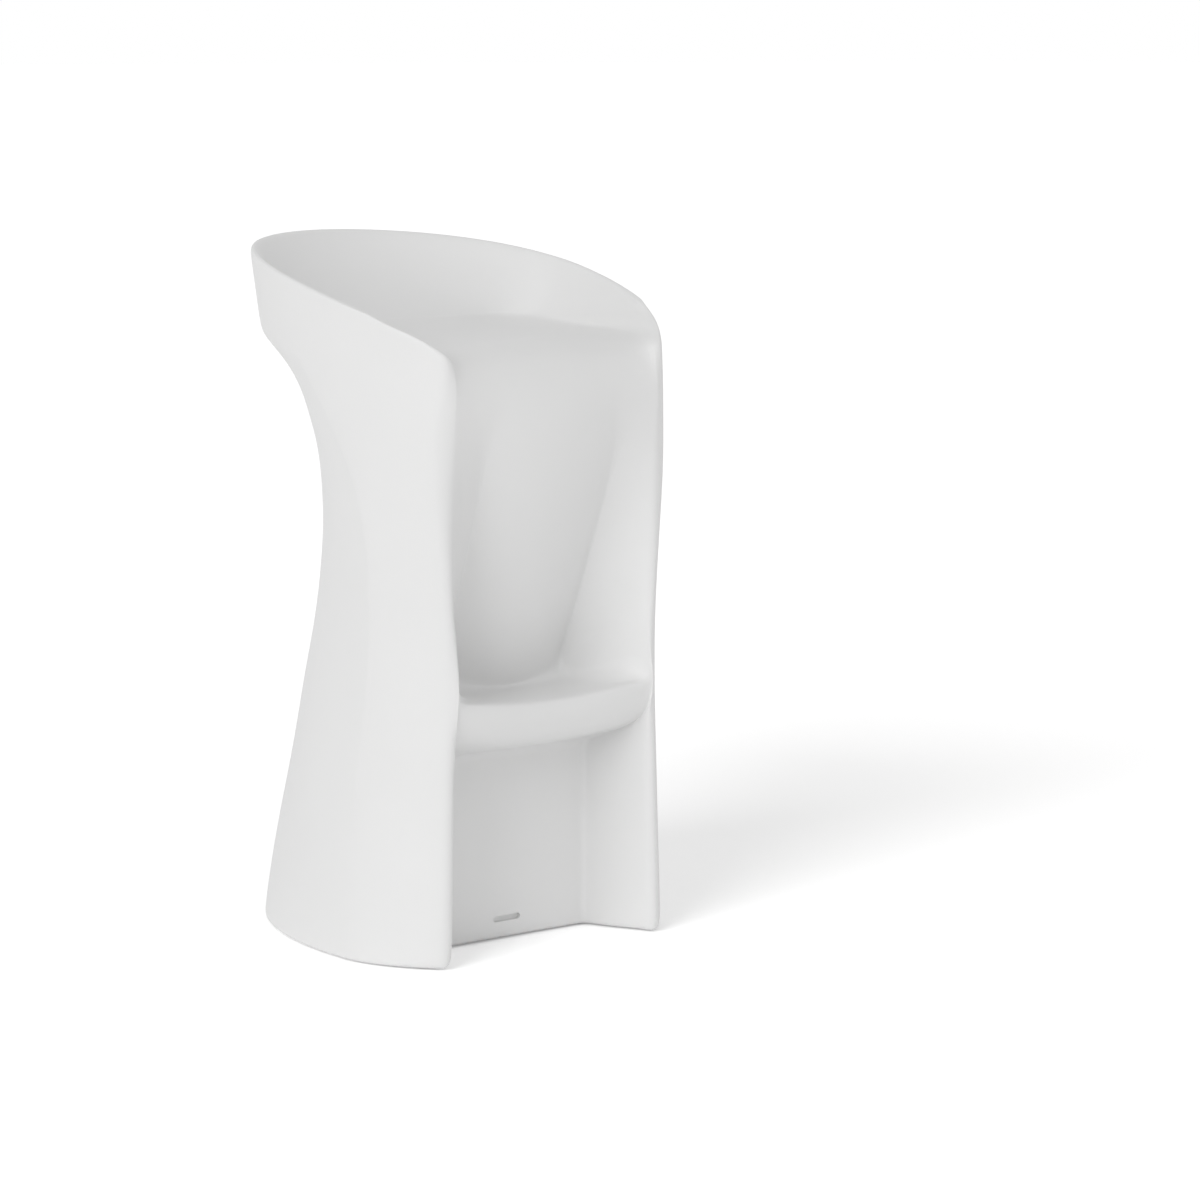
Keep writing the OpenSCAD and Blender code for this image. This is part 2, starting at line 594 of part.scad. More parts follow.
shell();
fill_insert();
fill_gasket();
fill_cap();
drain_insert();
drain_gasket();
drain_cap();
pad_front_left();
pad_front_right();
pad_rear_left();
pad_rear_right();
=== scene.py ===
import math
import bpy
from mathutils import Matrix, Vector
from numpy import array
from numpy.linalg import norm


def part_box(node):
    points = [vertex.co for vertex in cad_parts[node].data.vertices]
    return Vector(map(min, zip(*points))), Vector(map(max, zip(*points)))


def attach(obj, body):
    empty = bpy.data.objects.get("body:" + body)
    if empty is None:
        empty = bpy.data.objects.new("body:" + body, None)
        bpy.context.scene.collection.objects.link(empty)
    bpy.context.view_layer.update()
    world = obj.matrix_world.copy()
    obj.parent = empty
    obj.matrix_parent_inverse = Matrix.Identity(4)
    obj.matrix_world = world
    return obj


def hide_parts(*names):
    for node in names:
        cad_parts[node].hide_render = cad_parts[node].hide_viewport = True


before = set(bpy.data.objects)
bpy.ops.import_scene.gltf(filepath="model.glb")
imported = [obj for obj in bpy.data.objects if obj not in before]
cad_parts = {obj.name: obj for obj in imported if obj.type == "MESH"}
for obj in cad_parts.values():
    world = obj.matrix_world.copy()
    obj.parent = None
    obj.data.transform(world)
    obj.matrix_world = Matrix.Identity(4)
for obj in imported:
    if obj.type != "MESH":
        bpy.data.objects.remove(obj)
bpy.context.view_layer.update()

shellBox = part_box("shell")
print("frame loaded")


def freshStart():
    if bpy.context.object and bpy.context.object.mode != "OBJECT":
        bpy.ops.object.mode_set(mode="OBJECT")
    bpy.ops.object.select_all(action="DESELECT")


def nameIt(name):
    piece = bpy.context.object
    piece.name = name
    piece.data.name = name
    return piece


def useModifier(piece, kind, **settings):
    bpy.context.view_layer.objects.active = piece
    modifier = piece.modifiers.new(kind.title(), kind)
    for key, value in settings.items():
        setattr(modifier, key, value)
    bpy.ops.object.modifier_apply(modifier=modifier.name)


def pickFaces(piece, test):
    bpy.ops.object.mode_set(mode="OBJECT")
    bpy.context.tool_settings.mesh_select_mode = (False, False, True)
    for face in piece.data.polygons:
        face.select = bool(test(face))
    bpy.ops.object.mode_set(mode="EDIT")


# shell: one moulded form, lofted row by row from the foot to the rim, in millimetres and degrees
shellForm = {
    "height": 880, "rimWidth": 476, "baseWidth": 464, "waistWidth": 420, "waistRear": 172, "baseRear": 306,
    "seatHeight": 768, "rimFront": 745, "tread": 321, "noseHeight": 58, "lip": -198,
    "panelHalf": 125, "panelDepth": -100,
    "legPanelY": -105, "legPanelZ": 327, "legPanelLean": 0.36,             # the leg panel above the tread
    "foot": 1, "footRound": 10, "footEase": 2.2, "footShare": 3,           # where the sheets meet underneath
    "tipRound": 20, "tipEase": 6, "tipColumns": 4,
    "edgeStrip": 10, "edgeEase": 0.8, "edgeColumns": 3, "rimStrip": 9, "rimEase": 0.3,
    "easeFrom": 19, "easeTo": 23,
    "kneeToMiddle": 0.8, "kneeToEdge": 0.5,                                # as far as the rounding may reach
    "cornerLean": 9, "leanTurn": 25, "leanFrom": 570, "leanTo": 760,
    "cornerLift": 20, "cornerTurn": 3.5, "shoulder": 4, "shoulderTurn": 22, "rimPower": 1.9, "rimShift": 22,
    "bowl": 0.3, "creaseRows": 1.2,
    "creaseSoft": 0.6, "creaseReach": 12, "creaseNear": 1.8, "edgeStep": 4, "topOfHollow": 786,
    "halfColumns": 18, "middleColumns": 7, "kneeColumns": 5, "creaseColumn": 6,
    "footRows": 2, "rowsPerStation": 2, "innerBackRows": 8,
    "smoothLevels": 2, "smoothAngle": 32,
}
sf = shellForm
perMetre = 1000


def table(*rows):
    return [(place, array(value, float) if isinstance(value, (list, tuple)) else float(value))
            for place, value in rows]


def slope(t, i):                                 # of the curve through a table, at its row i
    last = len(t) - 1
    if i == 0:
        return (t[1][1] - t[0][1]) / (t[1][0] - t[0][0])
    if i == last:
        return (t[last][1] - t[last - 1][1]) / (t[last][0] - t[last - 1][0])
    before = t[i][0] - t[i - 1][0]
    after = t[i + 1][0] - t[i][0]
    ahead = (t[i + 1][1] - t[i][1]) * before / after
    behind = (t[i][1] - t[i - 1][1]) * after / before
    return (ahead + behind) / (before + after)


def through(t, p):                               # smooth curve through a table's rows
    q = min(max(p, t[0][0]), t[-1][0])
    i = 0
    while i < len(t) - 2 and q >= t[i + 1][0]:
        i += 1
    h = t[i + 1][0] - t[i][0]
    u = (q - t[i][0]) / h
    return ((2 * u ** 3 - 3 * u ** 2 + 1) * t[i][1] + (u ** 3 - 2 * u ** 2 + u) * h * slope(t, i)
            + (3 * u ** 2 - 2 * u ** 3) * t[i + 1][1] + (u ** 3 - u ** 2) * h * slope(t, i + 1))


def mix(a, b, u):
    return a * (1 - u) + b * u


def unit(v):
    return v / norm(v)


# the back sheet by level: an oval tube, a hollow that cuts across its back, the wings' front edges
# and the turn at which tube and hollow meet
halfWidth = table((0, sf["baseWidth"] / 2), (200, sf["baseWidth"] / 2 - 11), (400, sf["waistWidth"] / 2),
                  (640, sf["waistWidth"] / 2 + 14), (880, sf["rimWidth"] / 2))
ovalMiddle = table((0, -55), (250, -62), (560, -60), (880, 10))
ovalFront = table((0, 212), (250, 205), (560, 228), (710, 272), (880, 324))
ovalRear = table((0, sf["baseRear"] + 55), (250, 329), (560, 320), (880, 280))
backProfile = table((0, sf["baseRear"] + 5), (110, sf["baseRear"] - 22), (220, sf["baseRear"] - 56),
                    (330, sf["waistRear"] + 54), (440, sf["waistRear"] + 22), (550, sf["waistRear"] + 1),
                    (650, sf["waistRear"] + 6), (720, sf["waistRear"] + 43), (780, 322))
hollowMiddle = table((0, -62), (200, -100), (400, -162), (600, -172), (780, -63))
hollowWidening = table((0, 0), (300, 0.5), (440, 2.3), (550, 4.6), (650, 7.7), (780, 15))
edgeInset = table((0, 69), (150, 65), (290, 60), (400, 54), (560, 50), (670, 51), (745, 58))
creaseTurn = table((200, 86), (450, 82), (600, 83), (700, 93), (780, 102), (880, 104))


def sine(degrees):
    return math.sin(math.radians(degrees))


def cosine(degrees):
    return math.cos(math.radians(degrees))


def softMin(a, b):                               # rounds the crease between tube and hollow
    gap, soft = abs(a - b), sf["creaseSoft"]
    if gap > sf["creaseReach"] * soft:
        return min(a, b)
    return min(a, b) - soft * math.log(1 + math.exp(-gap / soft))


def outside(turn, level):                        # turn is 0 at the front and 180 at the back
    cx, cy = sine(turn), -cosine(turn)
    a, middle = through(halfWidth, level), through(ovalMiddle, level)
    b = through(ovalFront if cy < 0 else ovalRear, level)
    reach = 1 / math.sqrt((cx / a) ** 2 + (cy / b) ** 2)
    if level < sf["topOfHollow"]:                # where the same ray leaves the hollow's own oval
        centre = through(hollowMiddle, level)
        wide = a + through(hollowWidening, level)
        deep = through(backProfile, level) - centre
        shift = middle - centre
        p = (cx / wide) ** 2 + (cy / deep) ** 2
        q = 2 * cy * shift / deep ** 2
        r = (shift / deep) ** 2 - 1
        hollow = (-q + math.sqrt(max(q * q - 4 * p * r, 0))) / (2 * p)
        if middle + cy * hollow > centre:
            reach = softMin(reach, hollow)
    return array([cx * reach, middle + cy * reach, level])


def edgeTurn(level):                             # of the wing's front edge
    a = through(halfWidth, level)
    x = a - through(edgeInset, level)
    return math.degrees(math.atan2(x, through(ovalFront, level) * math.sqrt(1 - (x / a) ** 2)))


firstTurn = edgeTurn(sf["rimFront"])


def climb(turn, first):                          # 0 at the edge, 1 at the middle of the back
    return 1 - ((180 - turn) / (180 - first)) ** sf["rimPower"]


def rimAt(shift):                                # the rim's height, by the turn past its front corner
    turn = firstTurn + shift
    return (mix(sf["rimFront"] + sf["cornerLift"], sf["height"], climb(turn, firstTurn))
            - sf["cornerLift"] * math.exp(-shift / sf["cornerTurn"])
            - sf["shoulder"] * math.exp(-shift / sf["shoulderTurn"]))


def legPanel(z):                                 # the panel leans forwards as it rises
    return sf["legPanelY"] - sf["legPanelLean"] * (z - sf["legPanelZ"])


# heights of the tread, the seat and the nose's underside, and the front panel's place, half width and lip
t, s, n = sf["tread"], sf["seatHeight"], sf["tread"] - sf["noseHeight"]
py, ph, lip = sf["panelDepth"], sf["panelHalf"], sf["lip"]
low = sf["foot"] + sf["footRound"]
# each station: the edge's turn past the corner, the edge's height, the rear's height, the middle (y, z),
# the knee (x, y, z) where the side turns up, and how round the knee is
stations = [
    (0, low, low, (py, low), (ph, py, low), 8),
    (0, 100, 92, (py, 100), (ph, py, 100), 8),
    (0, 180, 170, (py, 195), (ph, py, 190), 8),
    (0, 228, 215, (py, n - 26), (ph + 1, py - 1, n - 26), 8),
    (0, 254, 238, (py - 14, n - 14), (ph + 5, py - 17, n - 12), 12),
    (0, 278, 258, (-147, n - 9), (140, -147, n - 4), 14),
    (0, 298, 276, (-177, n + 1), (150, -176, n + 10), 16),
    (0, 318, 292, (lip + 6, n + 18), (154, -192, n + 30), 18),
    (0, 338, 308, (lip - 1, t - 22), (154, lip, t - 8), 18),
    (0, 352, 320, (lip, t - 9), (151, lip, t + 4), 16),
    (0, 364, 329, (lip + 7, t - 3), (147, lip + 6, t + 7), 18),
    (0, 382, 338, (-170, t - 2), (134, -172, t + 3), 40),
    (0, 402, 346, (-138, t - 1), (119, -140, t + 1), 42),
    (0, 422, 353, (-116, t), (101, -108, t + 2), 24),
    (0, 438, 361, (legPanel(t + 4), t + 4), (98, -92, t + 14), 10),
    (0, 454, 374, (legPanel(t + 18), t + 18), (98, -88, t + 34), 6),
    (0, 492, 418, (legPanel(t + 89), t + 89), (98, -114, t + 91), 3),
    (0, 544, 475, (legPanel(t + 179), t + 179), (100, -148, t + 179), 3),
    (0, 592, 525, (legPanel(s - 193) + 2, s - 193), (102, -174, s - 196), 3),
    (0, 630, 565, (-207, s - 136), (106, -191, s - 143), 7),
    (0, 662, 598, (-212, s - 94), (112, -202, s - 101), 18),
    (0, 690, 628, (-206, s - 58), (124, -204, s - 66), 34),
    (0, 716, 652, (-189, s - 25), (134, -194, s - 35), 50),
    (1, rimAt(1), 672, (-154, s - 8), (142, -166, s - 15), 60),
    (3.5, rimAt(3.5), 688, (-104, s - 9), (158, -106, s - 10), 70),
    (7, rimAt(7), 702, (-6, s - 9), (180, -8, s - 9), 60),
    (11, rimAt(11), 717, (86, s + 1), (182, 84, s - 2), 60),
    (15, rimAt(15), 735, (104, s + 7), (186, 104, s + 4), 66),
]
lastStation = len(stations) - 1
rows = sf["footRows"] + lastStation * sf["rowsPerStation"] + sf["innerBackRows"]
edgeTurns, edgeHeights, rearHeights, middles, knees, roundness = [
    table(*[(i, station[k]) for i, station in enumerate(stations)]) for k in range(6)]


def columnTurn(step, first, level):              # columns lie close on both sides of the crease
    crease, column = through(creaseTurn, level), sf["creaseColumn"]
    path = table((0, first), (1, first + sf["edgeStep"]), (column - 1, crease - sf["creaseNear"]),
                 (column + 1, crease + sf["creaseNear"]), (sf["halfColumns"], 180))
    return through(path, step)


def ramp(value, low, high):
    u = min(max((value - low) / (high - low), 0), 1)
    return u * u * (3 - 2 * u)


def outerPoint(step, shift, edgeHeight, rearHeight):   # a point of the back sheet
    first = edgeTurn(min(edgeHeight, sf["rimFront"])) + shift
    turn = columnTurn(step, first, edgeHeight)
    p = outside(turn, mix(edgeHeight, rearHeight, climb(turn, first)))
    lean = sf["cornerLean"] * ramp(p[2], sf["leanFrom"], sf["leanTo"])
    p[0] -= lean * math.exp(-max(turn - firstTurn, 0) / sf["leanTurn"])   # the top corners curl inwards
    return p


def easeAt(loftRow):                             # the upright edges are rounder than the rim
    return mix(sf["edgeEase"], sf["rimEase"], ramp(loftRow, sf["easeFrom"], sf["easeTo"]))


def nearEdge(step, columns):                     # 1 at the edge and 0 from that many columns on
    return max(0, 1 - step / columns)


def sectionPoint(row, step):                     # step 0 is the side's edge, the last one the middle
    edgeHeight = through(edgeHeights, row)
    m, k, soft = through(middles, row), through(knees, row), through(roundness, row)
    edge = outerPoint(0, through(edgeTurns, row), edgeHeight, edgeHeight)
    middle = array([0, m[0], m[1]])
    start = k + unit(middle - k) * min(soft, sf["kneeToMiddle"] * norm(middle - k))
    end = k + unit(edge - k) * min(soft, sf["kneeToEdge"] * norm(edge - k))
    innerEdge = edge + unit(end - edge) * sf["edgeStrip"]
    fromMiddle = sf["halfColumns"] - step
    if fromMiddle <= sf["middleColumns"]:
        u = fromMiddle / sf["middleColumns"]
        return array([mix(middle[0], start[0], u), mix(middle[1], start[1], u * u),
                      mix(middle[2], start[2], u * u)])
    if fromMiddle <= sf["middleColumns"] + sf["kneeColumns"]:
        u = (fromMiddle - sf["middleColumns"]) / sf["kneeColumns"]
        return start * (1 - u) ** 2 + k * 2 * u * (1 - u) + end * u * u
    u = 1 - step / (sf["halfColumns"] - sf["middleColumns"] - sf["kneeColumns"])
    return mix(end, innerEdge, u)


def innerBackPoint(u, step):                     # from the seat's edge up to the rim
    below = sectionPoint(lastStation, step)
    p = outerPoint(step, sf["rimShift"], rimAt(sf["rimShift"]), sf["height"])
    above = p + unit(array([-p[0], -p[1], 0])) * sf["rimStrip"]
    u = u ** sf["creaseRows"]
    out = mix(u, sine(90 * u), sf["bowl"])
    up = mix(u, 1 - cosine(90 * u), sf["bowl"])
    return array([mix(below[0], above[0], out), mix(below[1], above[1], out), mix(below[2], above[2], up)])


def frontFoot(step):
    return sectionPoint(0, step)


def backFoot(step):
    return outerPoint(step + sf["edgeEase"] * nearEdge(step, sf["edgeColumns"]), 0, sf["foot"], sf["foot"])


tipMiddle = (frontFoot(sf["tipColumns"]) + backFoot(sf["tipColumns"])) / 2


def footRow(p, q, step, row):                    # row 0 is the underside's inset ring, row 1 the eased foot
    inset, tipInset, level = ((sf["footRound"], sf["tipRound"], sf["foot"]),
                              (sf["footEase"], sf["tipEase"], sf["foot"] + sf["footEase"]))[row]
    across = unit(q[:2] - p[:2]) * min(inset, norm(q - p) * inset / sf["footRound"] / sf["footShare"])
    back = unit(tipMiddle[:2] - p[:2]) * tipInset * nearEdge(step, sf["tipColumns"])
    return array([p[0] + across[0] + back[0], p[1] + across[1] + back[1], level])


def frontPoint(row, step):
    if row < sf["footRows"]:
        return footRow(frontFoot(step), backFoot(step), step, row)
    past = row - sf["footRows"] - lastStation * sf["rowsPerStation"]
    if past > 0:
        return innerBackPoint(past / sf["innerBackRows"], step)
    return sectionPoint((row - sf["footRows"]) / sf["rowsPerStation"], step)


def backPoint(row, step):
    if row < sf["footRows"]:
        return footRow(backFoot(step), frontFoot(step), step, row)
    loftRow = (row - sf["footRows"]) / sf["rowsPerStation"]
    eased = step + easeAt(loftRow) * nearEdge(step, sf["edgeColumns"])
    if loftRow <= lastStation:
        return outerPoint(eased, through(edgeTurns, loftRow), through(edgeHeights, loftRow),
                          through(rearHeights, loftRow))
    u = (loftRow - lastStation) * sf["rowsPerStation"] / sf["innerBackRows"]
    shift = mix(stations[lastStation][0], sf["rimShift"], u)
    return outerPoint(eased, shift, rimAt(shift), mix(stations[lastStation][2], sf["height"], u))


def buildShell():
    half, columns = sf["halfColumns"], 2 * sf["halfColumns"]
    points = []                                  # the front sheet's rows, then the back sheet's
    for pointAt in (frontPoint, backPoint):
        for row in range(rows + 1):
            side = [pointAt(row, step) for step in range(half + 1)]
            points += [(-p[0], p[1], p[2]) for p in side] + [tuple(p) for p in reversed(side[:-1])]
    sheetSize = (rows + 1) * (columns + 1)

    def front(i, j):
        return i * (columns + 1) + j

    def back(i, j):
        return sheetSize + front(i, j)

    faces = []
    for i in range(rows):
        for j in range(columns):
            faces.append((front(i, j), front(i, j + 1), front(i + 1, j + 1), front(i + 1, j)))
            faces.append((back(i, j), back(i + 1, j), back(i + 1, j + 1), back(i, j + 1)))
        faces.append((front(i, 0), front(i + 1, 0), back(i + 1, 0), back(i, 0)))
        faces.append((front(i, columns), back(i, columns), back(i + 1, columns), front(i + 1, columns)))
    for j in range(columns):
        faces.append((front(rows, j), front(rows, j + 1), back(rows, j + 1), back(rows, j)))
        faces.append((front(0, j), back(0, j), back(0, j + 1), front(0, j + 1)))
    mesh = bpy.data.meshes.new("shellSkin")
    mesh.from_pydata([[value / perMetre for value in point] for point in points], [], faces)
    shell = bpy.data.objects.new("shellSkin", mesh)
    bpy.context.collection.objects.link(shell)
    freshStart()
    shell.select_set(True)
    bpy.context.view_layer.objects.active = shell
    bpy.ops.object.mode_set(mode="EDIT")
    bpy.ops.mesh.select_all(action="SELECT")
    bpy.ops.mesh.normals_make_consistent(inside=False)
    bpy.ops.object.mode_set(mode="OBJECT")
    useModifier(shell, "SUBSURF", levels=sf["smoothLevels"], render_levels=sf["smoothLevels"])
    return shell


def fitToBox(piece, box):                        # centred from front to back, inside the solid's box
    low, high = Vector(box[0]), Vector(box[1])
    ys = [v.co.y for v in piece.data.vertices]
    shift = (low.y + high.y) / 2 - (min(ys) + max(ys)) / 2
    for v in piece.data.vertices:
        v.co.y += shift
        for k in range(3):
            v.co[k] = min(max(v.co[k], low[k]), high[k])


freshStart()
shell = buildShell()
fitToBox(shell, shellBox)
print("shell lofted", len(shell.data.polygons), "faces")


# ports: a round recess in the back, with a hole for the threaded insert
ports = {
    "fill": {"node": "fill_insert", "body": "fill_screw_cap", "cap": "fill_cap"},
    "drain": {"node": "drain_insert", "body": "drain_screw_cap", "cap": "drain_cap"},
}
recess = {"radius": 0.034, "reach": 0.060, "floorRound": 0.003, "roundSteps": 5, "holeRadius": 0.0185,
          "holeDepth": 0.019, "sides": 96}
hair, almost = 1e-5, 0.99                        # room for rounding when faces and edges are picked


def portPlace(name):                             # middle of the recess floor, from the insert's own box
    low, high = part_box(ports[name]["node"])
    return Vector(((low[0] + high[0]) / 2, high[1], (low[2] + high[2]) / 2))


def turnOut(piece, place):                       # +Z of the mesh turns to +Y and moves to its place
    piece.data.transform(Matrix.Translation(place) @ Matrix.Rotation(math.radians(-90), 4, "X"))


def recessCutter(name):
    freshStart()
    bpy.ops.mesh.primitive_cylinder_add(vertices=recess["sides"], radius=recess["radius"],
                                        depth=recess["reach"], location=(0, 0, recess["reach"] / 2))
    cutter = nameIt(name + "Cutter")
    bpy.ops.object.transform_apply(location=True)
    pickFaces(cutter, lambda face: face.center.z < hair)
    bpy.ops.mesh.inset(thickness=recess["radius"] - recess["holeRadius"])
    bpy.ops.mesh.extrude_region_move(TRANSFORM_OT_translate={"value": (0, 0, -recess["holeDepth"])})
    bpy.ops.object.mode_set(mode="OBJECT")
    bpy.context.tool_settings.mesh_select_mode = (False, True, False)
    for edge in cutter.data.edges:
        a, b = [cutter.data.vertices[v].co for v in edge.vertices]
        outermost = min(a.xy.length, b.xy.length) > recess["radius"] * almost
        edge.select = outermost and max(abs(a.z), abs(b.z)) < hair
    bpy.ops.object.mode_set(mode="EDIT")
    bpy.ops.mesh.bevel(offset=recess["floorRound"], segments=recess["roundSteps"])
    bpy.ops.object.mode_set(mode="OBJECT")
    turnOut(cutter, portPlace(name))
    return cutter


def cutWith(piece, cutter):
    freshStart()
    piece.select_set(True)
    useModifier(piece, "BOOLEAN", operation="DIFFERENCE", object=cutter, solver="EXACT")
    bpy.data.objects.remove(cutter, do_unlink=True)


# slot: blind, low on the front panel
slot = {"length": 0.043, "height": 0.0078, "depth": 0.0055, "level": 0.028, "cutter": 0.012, "sides": 32,
        "panelHalf": 0.02, "panelFrom": 0.1, "panelTo": 0.2}               # where the panel's place is read


def panelPlace():
    ys = [v.co.y for v in shell.data.vertices if v.co.y < 0 and abs(v.co.x) < slot["panelHalf"]
          and slot["panelFrom"] < v.co.z < slot["panelTo"]]
    return sum(ys) / len(ys)


def slotCutter(panelY):
    freshStart()
    flat = slot["length"] - slot["height"]
    bpy.ops.mesh.primitive_cylinder_add(vertices=slot["sides"], radius=slot["height"] / 2,
                                        depth=slot["cutter"], rotation=(math.radians(90), 0, 0))
    bpy.ops.object.transform_apply(rotation=True)
    cutter = nameIt("slotCutter")
    for v in cutter.data.vertices:
        v.co.x += math.copysign(flat / 2, v.co.x)
    middle = panelY + slot["depth"] - slot["cutter"] / 2
    cutter.data.transform(Matrix.Translation((0, middle, slot["level"])))
    return cutter


frontPanel = panelPlace()
for name in ports:
    cutWith(shell, recessCutter(name))
cutWith(shell, slotCutter(frontPanel))
freshStart()
shell.select_set(True)
bpy.context.view_layer.objects.active = shell
bpy.ops.object.shade_smooth_by_angle(angle=math.radians(sf["smoothAngle"]))
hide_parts("shell")
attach(shell, "stool")
print("ports and slot cut")


# screw caps: fluted head with a sunk grip bar, and a threaded plug
cap = {
    "headRadius": 0.023, "headHeight": 0.009, "headBase": 0.0031, "headEdge": 0.0011,
    "flutes": 32, "fluteSides": 4, "fluteDepth": 0.0006, "headSteps": 3, "barSteps": 3, "plugSteps": 2,
    "wellRadius": 0.017, "wellDepth": 0.0055, "wellInset": 0.0012,
    "barWidth": 0.007, "barWaist": 0.78, "barFlare": 0.22, "barOverlap": 0.001, "barDrop": 0.0006,
    "barCuts": 5, "barEdge": 0.0007,
    "plugRadius": 0.0117, "plugLength": 0.015, "plugWall": 0.0025, "plugHollow": 0.010,
    "plugOverlap": 0.001, "plugSides": 64, "plugEdge": 0.0005, "gasket": 0.0025,
    "threadDepth": 0.0012, "threadPitch": 0.004, "threadTurns": 3, "threadSteps": 48,
    "threadStart": 0.0012, "threadSink": 0.0002, "threadLevels": (0.0008, 0.0014, 0.0022),
    "edgeAngle": 50, "smoothAngle": 35,
}
headTop = cap["headBase"] + cap["headHeight"]
plugEnd = cap["headBase"] - cap["plugLength"] - cap["gasket"]


def roundEdges(piece, width, steps):
    useModifier(piece, "BEVEL", width=width, segments=steps, limit_method="ANGLE",
                angle_limit=math.radians(cap["edgeAngle"]))


def makeHead():
    freshStart()
    bpy.ops.mesh.primitive_cylinder_add(vertices=cap["flutes"] * cap["fluteSides"], radius=cap["headRadius"],
                                        depth=cap["headHeight"],
                                        location=(0, 0, cap["headBase"] + cap["headHeight"] / 2))
    head = nameIt("capHead")
    bpy.ops.object.transform_apply(location=True)
    pickFaces(head, lambda face: face.center.z > headTop - hair)
    bpy.ops.mesh.inset(thickness=cap["headRadius"] - cap["wellRadius"])
    bpy.ops.mesh.extrude_region_move(TRANSFORM_OT_translate={"value": (0, 0, -cap["wellDepth"])})
    bpy.ops.mesh.inset(thickness=cap["wellInset"])
    bpy.ops.object.mode_set(mode="OBJECT")
    for v in head.data.vertices:                 # flutes around the rim
        if v.co.xy.length > cap["headRadius"] * almost:
            wave = 0.5 - 0.5 * math.cos(math.atan2(v.co.y, v.co.x) * cap["flutes"])
            v.co.xy *= 1 - cap["fluteDepth"] / cap["headRadius"] * wave
    roundEdges(head, cap["headEdge"], cap["headSteps"])
    return head


def makeBar():                                   # the grip across the well
    freshStart()
    bpy.ops.mesh.primitive_cube_add(size=1, location=(0, 0, headTop - cap["wellDepth"] / 2 - cap["barDrop"]),
                                    scale=(cap["barWidth"], 2 * cap["wellRadius"] + cap["barOverlap"],
                                           cap["wellDepth"]))
    bar = nameIt("capBar")
    bpy.ops.object.transform_apply(location=True, scale=True)
    bpy.ops.object.mode_set(mode="EDIT")
    bpy.ops.mesh.select_all(action="SELECT")
    bpy.ops.mesh.subdivide(number_cuts=cap["barCuts"])
    bpy.ops.object.mode_set(mode="OBJECT")
    for v in bar.data.vertices:                  # narrower at its middle, for the fingers
        v.co.x *= cap["barWaist"] + cap["barFlare"] * min(1, abs(v.co.y) / cap["wellRadius"]) ** 2
    roundEdges(bar, cap["barEdge"], cap["barSteps"])
    return bar


def makePlug():                                  # hollow from its end
    freshStart()
    length = cap["headBase"] + cap["plugOverlap"] - plugEnd
    bpy.ops.mesh.primitive_cylinder_add(vertices=cap["plugSides"], radius=cap["plugRadius"], depth=length,
                                        location=(0, 0, plugEnd + length / 2))
    plug = nameIt("capPlug")
    bpy.ops.object.transform_apply(location=True)
    pickFaces(plug, lambda face: face.center.z < plugEnd + hair)
    bpy.ops.mesh.inset(thickness=cap["plugWall"])
    bpy.ops.mesh.extrude_region_move(TRANSFORM_OT_translate={"value": (0, 0, cap["plugHollow"])})
    bpy.ops.object.mode_set(mode="OBJECT")
    roundEdges(plug, cap["plugEdge"], cap["plugSteps"])
    return plug


def makeThread():                                # one closed helix, sunk a little into the plug
    freshStart()
    inner = cap["plugRadius"] - cap["threadSink"]
    outer, start = inner + cap["threadDepth"], plugEnd + cap["threadStart"]
    crest, crestEnd, foot = [start + level for level in cap["threadLevels"]]
    profile = [(inner, 0, start), (outer, 0, crest), (outer, 0, crestEnd), (inner, 0, foot)]
    mesh = bpy.data.meshes.new("capThread")
    mesh.from_pydata(profile, [(0, 1), (1, 2), (2, 3), (3, 0)], [])
    thread = bpy.data.objects.new("capThread", mesh)
    bpy.context.collection.objects.link(thread)
    thread.select_set(True)
    useModifier(thread, "SCREW", steps=cap["threadSteps"], render_steps=cap["threadSteps"],
                screw_offset=cap["threadPitch"], iterations=cap["threadTurns"], use_merge_vertices=False)
    bpy.context.tool_settings.mesh_select_mode = (False, True, False)
    bpy.ops.object.mode_set(mode="EDIT")
    bpy.ops.mesh.select_all(action="DESELECT")
    bpy.ops.mesh.select_non_manifold()           # its two open ends
    bpy.ops.mesh.edge_face_add()
    bpy.ops.mesh.select_all(action="SELECT")
    bpy.ops.mesh.normals_make_consistent(inside=False)
    bpy.ops.object.mode_set(mode="OBJECT")
    return thread


def buildCap():
    head, bar, plug, thread = makeHead(), makeBar(), makePlug(), makeThread()
    freshStart()
    for piece in (bar, plug, thread, head):
        piece.select_set(True)
    bpy.context.view_layer.objects.active = head
    bpy.ops.object.join()
    bpy.ops.object.shade_smooth_by_angle(angle=math.radians(cap["smoothAngle"]))
    return head


master = buildCap()
caps = []
for name in ports:
    copy = master.copy()
    copy.data = master.data.copy()
    copy.name = copy.data.name = name + "ScrewCap"
    bpy.context.collection.objects.link(copy)
    turnOut(copy, portPlace(name))
    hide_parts(ports[name]["cap"])
    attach(copy, ports[name]["body"])
    caps.append(copy)
bpy.data.objects.remove(master, do_unlink=True)
print("caps built")


# materials
class Wire:                                      # one socket of a node tree, for sums and for new nodes
    def __init__(self, tree, socket=None):
        self.tree = tree
        self.socket = socket

    def node(self, kind, settings=None, sockets=None, out=0):
        made = self.tree.nodes.new(kind)
        for key, value in (settings or {}).items():
            setattr(made, key, value)
        for key, value in (sockets or {}).items():
            if isinstance(value, Wire):
                self.tree.links.new(value.socket, made.inputs[key])
            else:
                made.inputs[key].default_value = value
        return Wire(self.tree, made.outputs[out])

    def maths(self, operation, a, b):
        return self.node("ShaderNodeMath", {"operation": operation}, {0: a, 1: b})

    def __add__(self, other):
        return self.maths("ADD", self, other)

    def __mul__(self, other):
        return self.maths("MULTIPLY", self, other)

    __radd__ = __add__
    __rmul__ = __mul__


